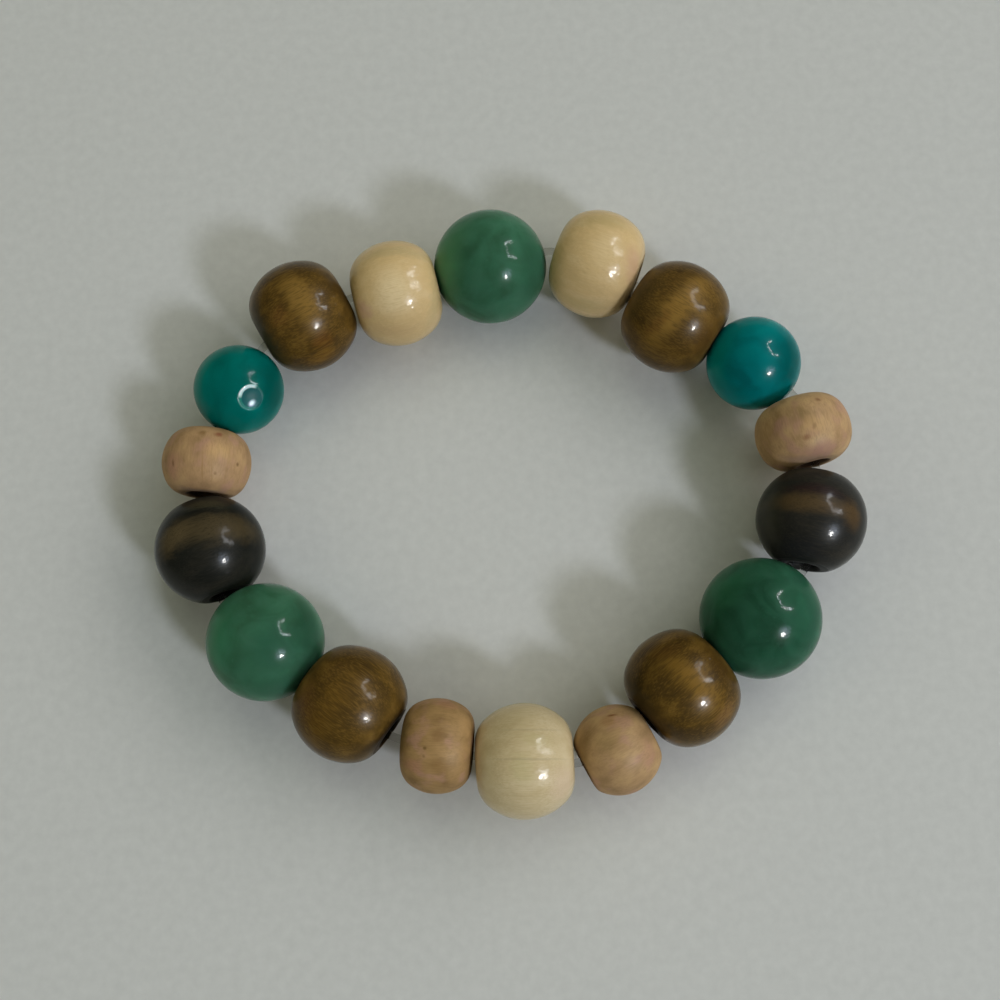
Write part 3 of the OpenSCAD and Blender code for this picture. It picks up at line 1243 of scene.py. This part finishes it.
@dataclass
class ElasticThread:
    """Closed loop of clear elastic through all the beads.

    Attributes:
        node: the frame's node that it stands for.
        beads: the beads, in order.
        finish: what it is made of.
        width: its thickness, in metres.
        stiffness: how far it keeps its direction at each joint.
        rings_per_bead: how finely its bends are drawn.
        sides: how round it is.
    """

    node: str
    beads: list[Bead]
    finish: ClearElastic
    width: float = 0.8 * MM
    stiffness: float = 0.6
    rings_per_bead: int = 10
    sides: int = 16

    def joint(self, before: Bead, after: Bead) -> tuple[Vector, Vector]:
        """Find where the thread passes from one bead to the next.

        Args:
            before: the bead that it leaves.
            after: the bead that it enters.

        Returns:
            That point, and the thread's direction there.
        """
        if isinstance(before, StoneBead):
            return before.mouth(Side.AHEAD), before.way()
        if isinstance(after, StoneBead):
            return after.mouth(Side.BEHIND), after.way()
        middle = (before.mouth(Side.AHEAD) + after.mouth(Side.BEHIND)) / 2
        return middle, (before.way() + after.way()).normalized()

    def route(self) -> list[Vector]:
        """Draw the thread's middle line, a few points for each bead.

        Returns:
            The points, in order round the loop.
        """
        count = len(self.beads)
        joints = [self.joint(self.beads[i - 1], self.beads[i]) for i in range(count)]
        points = []
        for i in range(count):
            (start, start_way), (end, end_way) = joints[i], joints[(i + 1) % count]
            pull = self.stiffness * (end - start).length
            for step in range(self.rings_per_bead):
                t = step / self.rings_per_bead
                points.append(
                    start * (2 * t**3 - 3 * t**2 + 1)
                    + start_way * pull * (t**3 - 2 * t**2 + t)
                    + end * (3 * t**2 - 2 * t**3)
                    + end_way * pull * (t**3 - t**2)
                )
        return points

    def build(self) -> bpy.types.Object:
        """Sweep the thread along its route and dress it.

        Returns:
            The thread's piece.
        """
        route = self.route()
        work = bmesh.new()
        rings = []
        for i, point in enumerate(route):
            way = (route[(i + 1) % len(route)] - route[i - 1]).normalized()
            aside = Vector((way.y, -way.x, 0))
            angles = [2 * math.pi * side / self.sides for side in range(self.sides)]
            spokes = [aside * math.cos(a) + Vector((0, 0, math.sin(a))) for a in angles]
            rings.append([work.verts.new(point + spoke * self.width / 2) for spoke in spokes])
        for here, there in zip(rings, rings[1:] + rings[:1]):
            for side in range(self.sides):
                beyond = (side + 1) % self.sides
                work.faces.new((here[side], here[beyond], there[beyond], there[side]))
        bmesh.ops.recalc_face_normals(work, faces=work.faces)
        mesh = bpy.data.meshes.new(self.node)
        work.to_mesh(mesh)
        work.free()
        mesh.materials.append(self.finish.material(self.node, Vector()))
        return finished_mesh(self.node + "_dressed", mesh, Vector(), self.node)


@dataclass
class Bracelet:
    """The string of beads and its thread.

    Attributes:
        beads: the beads, clockwise from the top.
        thread_node: the frame's node of the thread.
    """

    beads: list[Bead]
    thread_node: str = "elastic_thread"

    def line_up(self) -> None:
        """Point every hole at the next bead, and pull the thread straight through the stones."""
        count = len(self.beads)
        for i, bead in enumerate(self.beads):
            step = self.beads[(i + 1) % count].centre - bead.centre
            if isinstance(bead, WoodBead) and bead.way().dot(step) < 0:
                bead.heading += math.pi
        for i, bead in enumerate(self.beads):
            if isinstance(bead, StoneBead):
                line = self.beads[(i + 1) % count].mouth(Side.BEHIND) - self.beads[i - 1].mouth(Side.AHEAD)
                bead.heading = math.atan2(line.y, line.x)

    def build(self) -> list[bpy.types.Object]:
        """Make all the beads and the thread.

        Returns:
            The pieces.
        """
        self.line_up()
        thread = ElasticThread(self.thread_node, self.beads, CLEAR_ELASTIC)
        return [bead.build() for bead in self.beads] + [thread.build()]


def string_of_beads() -> list[Bead]:
    """Choose the beads, clockwise from the top of the loop.

    Each patch gives its colour, its place to the right and up, its length and width, its slant, and
    how much of it is laid on.

    Returns:
        The beads, each with its own finish.
    """
    # Many patches below are painted light and shade, as the comment at each bead says
    return [
        StoneBead("green_bead_top", replace(GREEN_STONE, seed=1, marks_and_shading=(
            # Painted light on the left side and painted shade on the right side
            MarkAndShadePatch("#5e966c", -0.8, 0.1, 0.9, 0.6, 80, 0.75),
            MarkAndShadePatch("#2a5840", 0.8, 0.0, 0.9, 0.45, 90, 0.65),
        ))),
        WoodBead("ivory_bead_top_right", replace(IVORY_WOOD, seed=2, marks_and_shading=(
            # Painted shade at the left side and along the top and bottom edges
            MarkAndShadePatch("#a8966a", -0.75, -0.1, 0.6, 0.3, 80, 0.3),
            MarkAndShadePatch("#b8a870", 0.1, 0.8, 0.7, 0.3, 0, 0.4),
            MarkAndShadePatch("#f2d8a2", 0.15, 0.25, 0.5, 0.4, 60, 0.5),
            MarkAndShadePatch("#d8a88c", 0.68, 0.0, 0.3, 0.5, 0, 0.45),
            MarkAndShadePatch("#c3b27a", -0.2, -0.75, 0.6, 0.3, 0, 0.4),
        ))),
        WoodBead("brown_bead_top_right", replace(BROWN_WOOD, seed=3, body="#684f22", marks_and_shading=(
            # Painted sheen in the golden band across the middle; painted shade, partly dark stain, at the
            # upper left and along the bottom edge
            MarkAndShadePatch("#564626", -0.6, 0.45, 0.8, 0.45, 50, 0.7),
            MarkAndShadePatch("#a07c3a", 0.05, 0.15, 1.25, 0.34, 47, 0.8),
            MarkAndShadePatch("#6b4420", -0.3, -0.1, 0.5, 0.15, 45, 0.4),
            MarkAndShadePatch("#5e411a", 0.6, -0.3, 0.6, 0.35, 50, 0.5),
            MarkAndShadePatch("#5a482c", -0.35, -0.85, 0.8, 0.25, 0, 0.6),
        ))),
        StoneBead("teal_bead_right", replace(TEAL_STONE, seed=4, marks_and_shading=(
            # Painted shade on the right side and low down, painted light on the left side
            MarkAndShadePatch("#004f4a", 0.78, 0.05, 1.0, 0.6, 90, 0.75),
            MarkAndShadePatch("#00948c", -0.75, 0.15, 0.9, 0.45, 90, 0.5),
            MarkAndShadePatch("#00706c", -0.3, -0.6, 0.6, 0.4, 0, 0.4),
        ))),
        WoodBead("tan_bead_right", replace(TAN_WOOD, seed=5, marks_and_shading=(
            # Painted shade at the left side and along the bottom edge, above the dark bead
            MarkAndShadePatch("#b08e5e", -0.8, -0.1, 0.7, 0.4, 90, 0.5),
            MarkAndShadePatch("#8f7a4a", -0.1, 0.4, 0.4, 0.25, 0, 0.4),
            MarkAndShadePatch("#d6ae74", 0.3, 0.2, 0.45, 0.3, 20, 0.5),
            MarkAndShadePatch("#b5897a", 0.4, -0.35, 0.5, 0.3, 0, 0.55),
            MarkAndShadePatch("#b5897a", -0.4, 0.15, 0.3, 0.25, 0, 0.4),
            MarkAndShadePatch("#8a5438", 0.08, -0.1, 0.11, 0.09, 0, 0.55, 0.06),
            MarkAndShadePatch("#7a4c30", 0.3, 0.68, 0.09, 0.08, 0, 0.65, 0.06),
            MarkAndShadePatch("#84603c", 0.24, 0.14, 0.05, 0.1, 0, 0.4, 0.06),
            MarkAndShadePatch("#a08478", 0.1, -0.62, 0.8, 0.2, 0, 0.5),
        ))),
        WoodBead("dark_bead_right", replace(DARK_WOOD, seed=6, marks_and_shading=(
            MarkAndShadePatch("#3a2422", 0.1, 0.56, 0.8, 0.18, -6, 0.6, 0.15),
            MarkAndShadePatch("#6e5836", -0.05, 0.33, 1.2, 0.27, -7, 0.65, 0.15),
            MarkAndShadePatch("#70552f", 0.72, 0.1, 0.42, 0.32, -60, 0.5, 0.15),
            MarkAndShadePatch("#24262a", -0.2, -0.55, 0.7, 0.4, 0, 0.5),
            MarkAndShadePatch("#46463a", -0.75, 0.1, 0.8, 0.45, 90, 0.6),
        ))),
        StoneBead("green_bead_low_right", replace(
            GREEN_STONE, seed=7, deep="#26523c", body="#2f6048", milk="#376a51", marks_and_shading=(
                # Painted light on the left side and painted shade on the right side
                MarkAndShadePatch("#3a7a58", -0.6, 0.45, 0.6, 0.5, 0, 0.5),
                MarkAndShadePatch("#3f7c5c", -0.6, -0.6, 0.5, 0.4, 0, 0.5),
                MarkAndShadePatch("#255440", 0.85, 0.1, 0.8, 0.3, 90, 0.5),
            ),
        )),
        WoodBead("brown_bead_low_right", replace(BROWN_WOOD, seed=8, marks_and_shading=(
            # Painted sheen in the golden band across the middle; painted shade, partly dark stain, at the
            # left side and along the bottom edge
            MarkAndShadePatch("#3a3019", -0.75, -0.2, 0.9, 0.5, -60, 0.85),
            MarkAndShadePatch("#94702c", 0.24, 0.1, 0.95, 0.33, -42, 0.75),
            MarkAndShadePatch("#4a3412", 0.62, 0.4, 0.5, 0.3, -60, 0.65),
            MarkAndShadePatch("#64461c", -0.25, 0.6, 0.4, 0.25, 0, 0.5),
            MarkAndShadePatch("#8e6a38", 0.7, -0.45, 0.4, 0.28, 60, 0.7),
            MarkAndShadePatch("#3a2d1a", 0.0, -0.75, 0.7, 0.28, 0, 0.6),
        ))),
        WoodBead("tan_bead_low_right", replace(TAN_WOOD, seed=9, body="#bb986a", light="#c9a673", marks_and_shading=(
            # Painted shade at the left side
            MarkAndShadePatch("#7d6540", -0.75, 0.0, 0.7, 0.35, 80, 0.5),
            MarkAndShadePatch("#7a4526", -0.1, 0.74, 0.17, 0.06, 10, 0.8, 0.05),
            MarkAndShadePatch("#a9794c", -0.2, 0.6, 0.25, 0.2, 0, 0.4),
            MarkAndShadePatch("#a08850", -0.2, 0.15, 0.4, 0.35, 0, 0.35),
            MarkAndShadePatch("#bd8f74", 0.7, -0.1, 0.3, 0.5, 0, 0.45),
        ))),
        WoodBead("ivory_bead_bottom", replace(
            IVORY_WOOD, seed=10, dark="#d0b988", body="#dfcb9c", light="#ead8ae", marks_and_shading=(
                # Painted shade at the left side
                MarkAndShadePatch("#c4a888", -0.85, 0.0, 0.8, 0.35, 90, 0.4),
                MarkAndShadePatch("#cfc58a", -0.05, -0.15, 0.3, 0.35, 0, 0.4),
                MarkAndShadePatch("#cfc58a", 0.2, 0.35, 0.4, 0.2, 0, 0.35),
                MarkAndShadePatch("#9c8f70", 0.1, 0.025, 1.0, 0.03, 0, 0.28, 0.03, layer=True),
                MarkAndShadePatch("#9c8f70", 0.15, 0.51, 0.8, 0.03, 0, 0.22, 0.03, layer=True),
                MarkAndShadePatch("#e6cbac", 0.65, -0.4, 0.4, 0.5, 0, 0.5),
            ),
        )),
        WoodBead("tan_bead_low_left", replace(
            TAN_WOOD, seed=11, shade="#907248", body="#ac8a58", light="#ba9662", marks_and_shading=(
                # Painted shade at the left side
                MarkAndShadePatch("#5d5334", -0.8, 0.25, 0.6, 0.35, 80, 0.6),
                MarkAndShadePatch("#bd8a6a", -0.5, -0.42, 0.35, 0.25, 0, 0.55),
                MarkAndShadePatch("#bf8a6a", 0.2, 0.85, 0.4, 0.2, 0, 0.5),
                MarkAndShadePatch("#86633a", 0.0, 0.22, 0.25, 0.2, 30, 0.55),
                MarkAndShadePatch("#6b4f2c", -0.26, -0.06, 0.06, 0.06, 0, 0.75, 0.05),
                MarkAndShadePatch("#6b4f2c", -0.28, -0.22, 0.05, 0.05, 0, 0.5, 0.05),
                MarkAndShadePatch("#94703c", 0.05, -0.42, 0.35, 0.25, 0, 0.5),
            ),
        )),
        WoodBead("brown_bead_low_left", replace(BROWN_WOOD, seed=12, marks_and_shading=(
            # Painted sheen in the golden patches; a painted shadow in the dark patch at the lower right, next
            # to the tan bead; painted shade along the top edge
            MarkAndShadePatch("#765820", -0.3, 0.05, 0.6, 0.34, 50, 0.6),
            MarkAndShadePatch("#7c5f24", 0.6, 0.6, 0.4, 0.2, 50, 0.6),
            MarkAndShadePatch("#735520", -0.6, -0.35, 0.55, 0.4, 50, 0.6),
            MarkAndShadePatch("#5a4420", -0.2, 0.55, 0.5, 0.2, 30, 0.5),
            MarkAndShadePatch("#2c2010", 0.65, -0.55, 0.8, 0.4, 50, 0.85),
            MarkAndShadePatch("#7a5830", -0.75, 0.05, 0.3, 0.5, 0, 0.6),
            MarkAndShadePatch("#64502e", 0.0, 0.85, 0.8, 0.25, 0, 0.6),
        ))),
        StoneBead("green_bead_low_left", replace(GREEN_STONE, seed=13, marks_and_shading=(
            # Painted light on the left side, painted shade on the right side, where the brown bead shades it,
            # and along the bottom edge
            MarkAndShadePatch("#4c926e", -0.8, 0.05, 0.8, 0.5, 90, 0.7),
            MarkAndShadePatch("#244c37", 0.75, 0.1, 0.9, 0.5, 90, 0.7),
            MarkAndShadePatch("#2c5f44", 0.1, -0.75, 0.7, 0.35, 0, 0.5),
            MarkAndShadePatch("#30604a", 0.15, -0.1, 0.6, 0.6, 0, 0.6),
        ))),
        WoodBead("dark_bead_left", replace(
            DARK_WOOD, seed=14, dark="#171813", body="#23241f", light="#38342a", marks_and_shading=(
                MarkAndShadePatch("#645536", 0.1, 0.42, 1.2, 0.42, 6, 0.6),
                MarkAndShadePatch("#7c6a48", -0.7, 0.2, 0.6, 0.4, 30, 0.5),
                MarkAndShadePatch("#32322b", -0.6, -0.5, 0.5, 0.4, 0, 0.5),
                MarkAndShadePatch("#1c1c16", -0.2, 0.66, 0.5, 0.09, 12, 0.6),
                MarkAndShadePatch("#4c4834", -0.1, 0.82, 0.6, 0.2, 0, 0.6),
            ),
        )),
        WoodBead("tan_bead_left", replace(TAN_WOOD, seed=15, body="#ba966a", light="#c8a473", marks_and_shading=(
            # Painted shade along the bottom edge, above the dark bead
            MarkAndShadePatch("#d6ae70", 0.23, 0.3, 0.45, 0.32, 0, 0.6),
            MarkAndShadePatch("#c48f78", -0.75, -0.05, 0.3, 0.5, 0, 0.55),
            MarkAndShadePatch("#8a6a3c", -0.1, 0.69, 0.15, 0.1, 0, 0.65, 0.12),
            MarkAndShadePatch("#8e5238", 0.264, 0.65, 0.15, 0.11, 0, 0.85, 0.12),
            MarkAndShadePatch("#7a5636", -0.73, 0.0, 0.06, 0.13, 0, 0.7, 0.08),
            MarkAndShadePatch("#6b4a2a", 0.68, -0.03, 0.06, 0.07, 0, 0.75, 0.08),
            MarkAndShadePatch("#8a6238", 0.18, -0.22, 0.05, 0.06, 0, 0.6, 0.08),
            MarkAndShadePatch("#a07a4a", -0.1, -0.1, 0.45, 0.03, 88, 0.5, 0.06),
            MarkAndShadePatch("#a07a4a", 0.1, -0.2, 0.35, 0.03, 92, 0.4, 0.06),
            MarkAndShadePatch("#a88254", 0.42, -0.2, 0.4, 0.03, 84, 0.4, 0.06),
            MarkAndShadePatch("#86746a", -0.1, -0.75, 0.8, 0.22, 0, 0.55),
        ))),
        PittedStoneBead("teal_bead_left", replace(
            TEAL_STONE, seed=16, deep="#006e64", body="#00766c", milk="#007c72", pit=Pit(), marks_and_shading=(
                # Painted light on the left side and painted shade on the right side
                MarkAndShadePatch("#00938a", -0.8, 0.15, 0.8, 0.4, 90, 0.5),
                MarkAndShadePatch("#004c44", 0.78, 0.05, 1.0, 0.6, 90, 0.75),
            ),
        )),
        WoodBead("brown_bead_top_left", replace(BROWN_WOOD, seed=17, marks_and_shading=(
            # Painted sheen in the golden band across the middle; painted shade, partly dark stain, at the
            # lower left, the upper right and along the top and bottom edges
            MarkAndShadePatch("#3d3a28", -0.75, -0.35, 0.9, 0.45, -60, 0.9),
            MarkAndShadePatch("#9a7838", -0.03, 0.3, 0.9, 0.34, -62, 0.75),
            MarkAndShadePatch("#3a2b18", -0.1, -0.8, 0.5, 0.2, 0, 0.5),
            MarkAndShadePatch("#6b4420", -0.42, 0.0, 0.25, 0.3, 0, 0.4),
            MarkAndShadePatch("#7a4a1a", 0.34, -0.4, 0.3, 0.25, 0, 0.45),
            MarkAndShadePatch("#8c6622", 0.32, -0.7, 0.45, 0.3, 30, 0.7),
            MarkAndShadePatch("#554a38", 0.1, 0.92, 0.8, 0.2, 0, 0.5),
            MarkAndShadePatch("#3a2b14", 0.65, 0.45, 0.5, 0.3, -60, 0.6),
        ))),
        WoodBead("ivory_bead_top_left", replace(IVORY_WOOD, seed=18, marks_and_shading=(
            # Painted shade round the rim: at the left and right sides and along the top and bottom edges
            MarkAndShadePatch("#93845a", -0.88, 0.0, 0.8, 0.3, 90, 0.45),
            MarkAndShadePatch("#c4b484", 0.0, 0.78, 0.9, 0.22, 0, 0.5),
            MarkAndShadePatch("#c4b27e", 0.75, -0.1, 0.8, 0.25, 90, 0.45),
            MarkAndShadePatch("#d6a58c", -0.62, -0.3, 0.3, 0.25, 0, 0.5),
            MarkAndShadePatch("#d4b07c", -0.1, -0.7, 0.6, 0.2, 0, 0.4),
            MarkAndShadePatch("#fae4b2", -0.05, 0.03, 0.52, 0.6, 0, 0.7, 0.05),
        ))),
    ]


class Shows(Enum):
    """Where a lamp tells: in everything, only as a reflection, or only as soft light."""

    EVERYWHERE = "everywhere"
    IN_GLOSS = "in gloss"
    AS_SOFT_LIGHT = "as soft light"


@dataclass(frozen=True)
class Lamp:
    """A light that faces the bracelet.

    Attributes:
        name: the light's name.
        place: its middle, in metres.
        size: its width and height, in metres.
        radiance: how bright its face is, against white paper in the picture.
        colour: its tint.
        run: direction that its width runs in, if that matters.
        round_face: whether its face is a disc.
        shows: where it tells.
    """

    name: str
    place: Vector
    size: tuple[float, float]
    radiance: float
    colour: str = "#ffffff"
    run: Vector | None = None
    round_face: bool = False
    shows: Shows = Shows.EVERYWHERE

    def build(self) -> bpy.types.Object:
        """Hang the lamp and turn it to the bracelet.

        Returns:
            The lamp.
        """
        light = bpy.data.lights.new(self.name, "AREA")
        light.shape = "ELLIPSE" if self.round_face else "RECTANGLE"
        light.size, light.size_y = self.size
        area = self.size[0] * self.size[1] * (math.pi / 4 if self.round_face else 1)
        light.energy = self.radiance * math.pi * area
        light.color = linear(self.colour)[:3]
        lamp = bpy.data.objects.new(self.name, light)
        bpy.context.scene.collection.objects.link(lamp)
        away = self.place.normalized()
        side = self.run or Vector((0, 0, 1)).cross(away)
        side = (side - away * side.dot(away)).normalized()
        facing = Matrix((side, away.cross(side), away)).transposed().to_4x4()
        lamp.matrix_world = Matrix.Translation(self.place) @ facing
        lamp.visible_camera = False
        lamp.visible_glossy = self.shows is not Shows.AS_SOFT_LIGHT
        lamp.visible_diffuse = self.shows is not Shows.IN_GLOSS
        return lamp


@dataclass
class Studio:
    """Plain pale floor, soft room light, and the camera at the picture's angle.

    Attributes:
        distance: how far the lights hang from the loop's middle, in metres.
        lens: focal length in millimetres, on a sensor 36 mm wide.
    """

    distance: float = 0.28
    lens: float = 43.2

    def camera(self) -> bpy.types.Object:
        """Set up the camera.

        Returns:
            The camera, at the picture's angle.
        """
        data = bpy.data.cameras.new("camera")
        data.lens = self.lens
        data.clip_start = 0.005
        data.clip_end = 20
        camera = bpy.data.objects.new("camera", data)
        bpy.context.scene.collection.objects.link(camera)
        camera.matrix_world = camera_place()
        bpy.context.scene.camera = camera
        return camera

    def floor(self) -> bpy.types.Object:
        """Lay the pale floor.

        Returns:
            The floor, which isn't part of the bracelet.
        """
        half = 2.0
        mesh = bpy.data.meshes.new("floor")
        corners = [(-half, -half, 0), (half, -half, 0), (half, half, 0), (-half, half, 0)]
        mesh.from_pydata(corners, [], [(0, 1, 2, 3)])
        floor = bpy.data.objects.new("floor", mesh)
        bpy.context.scene.collection.objects.link(floor)
        material = bpy.data.materials.new("matt_pale_board")
        material.use_nodes = True
        tree = material.node_tree
        shader = tree.nodes["Principled BSDF"]
        place = add_node(tree, "ShaderNodeTexCoord").outputs["Object"]
        nap = add_node(tree, "ShaderNodeTexNoise", {"Vector": place, "Scale": 1 / (1.1 * MM), "Detail": 3})
        tint = add_node(
            tree, "ShaderNodeValToRGB", {0: nap.outputs[0]}, stops=((0.25, "#d6d8d1"), (0.75, "#dee0d9"))
        )
        feed(shader, {"Base Color": tint.outputs[0], "Roughness": 0.9, "Specular IOR Level": 0.1})
        mesh.materials.append(material)
        return floor

    def lamps(self) -> list[bpy.types.Object]:
        """Hang the lamp, and the bright edges of the curtained window.

        Returns:
            The lamps.
        """
        corners = [towards(*at) * self.distance for at in ((45, 49), (42.5, 33.5), (10, 52.5), (5, 36))]
        top_left, top_right, low_left, low_right = corners
        soft, gloss = Shows.AS_SOFT_LIGHT, Shows.IN_GLOSS
        lit = (
            Lamp("lamp", towards(-47.5, 38), (0.16, 0.16), 49.5, "#e7ecff", round_face=True, shows=soft),
            Lamp("window", towards(21, 40) * 1.5, (2.0, 0.8), 1.8, "#fff9f8", shows=soft),
            Lamp("ceiling", towards(90, 65) * 1.5, (0.8, 0.8), 0.78, "#f6ffe2", shows=soft),
            Lamp("far_wall", towards(180, 42) * 1.5, (0.8, 0.8), 0.94, "#fff7d7", shows=soft),
            Lamp("near_wall", towards(270, 58) * 1.5, (0.8, 0.8), 0.18, shows=soft),
        )
        spot = towards(-47.6, 39.2) * self.distance
        hung = [*lit, Lamp("lamp_glint", spot, (0.031, 0.031), 450, "#fffdf8", round_face=True, shows=gloss)]
        for name, width, radiance in (("lamp_shade", 0.18, 12), ("lamp_bowl", 0.1, 14)):
            place = towards(-43, 41) * (self.distance + width)
            hung.append(Lamp(name, place, (width, width), radiance, "#d2e2ff", round_face=True, shows=gloss))
        edges = {
            "window_far_edge": (top_left, top_right, 0.022, 50),
            "window_top_edge": (top_left, low_left, 0.018, 34),
            "window_near_edge": (low_left, low_right, 0.022, 60),
        }
        for name, (start, end, width, radiance) in edges.items():
            size = ((end - start).length, width)
            middle, run = (start + end) / 2, end - start
            hung.append(Lamp(name, middle, size, radiance, "#f4f8ff", run=run, shows=gloss))
        return [lamp.build() for lamp in hung]

    def room(self) -> None:
        """Light the room softly, more from the window's side."""
        world = bpy.data.worlds.new("room")
        bpy.context.scene.world = world
        world.use_nodes = True
        tree = world.node_tree
        tree.nodes.clear()
        way = add_node(tree, "ShaderNodeTexCoord").outputs["Generated"]
        towards_window = add_node(
            tree, "ShaderNodeVectorMath", {0: way, 1: towards(28, 45)}, operation="DOT_PRODUCT"
        )
        spread = {"Value": towards_window.outputs["Value"], "From Min": -1}
        share = add_node(tree, "ShaderNodeMapRange", spread)
        tint = add_node(
            tree,
            "ShaderNodeValToRGB",
            {0: share.outputs[0]},
            stops=((0.3, "#4f504a"), (0.8, "#51534e"), (0.9, "#666c6f"), (1.0, "#788086")),
        )
        glow = add_node(tree, "ShaderNodeBackground", {"Color": tint.outputs[0], "Strength": 1.0})
        add_node(tree, "ShaderNodeOutputWorld", {"Surface": glow.outputs[0]})

    def build(self) -> None:
        """Set up the whole studio, with colours shown as they are."""
        self.camera()
        self.floor()
        self.lamps()
        self.room()
        bpy.context.scene.view_settings.view_transform = "Standard"


def main() -> None:
    """Build the studio and the bracelet, and report each piece."""
    logging.basicConfig(level=logging.INFO, format="%(name)s: %(message)s")
    Studio().build()
    for piece in Bracelet(string_of_beads()).build():
        log.info("%s, %d faces", piece.name, len(piece.data.polygons))


if __name__ == "__main__":
    main()
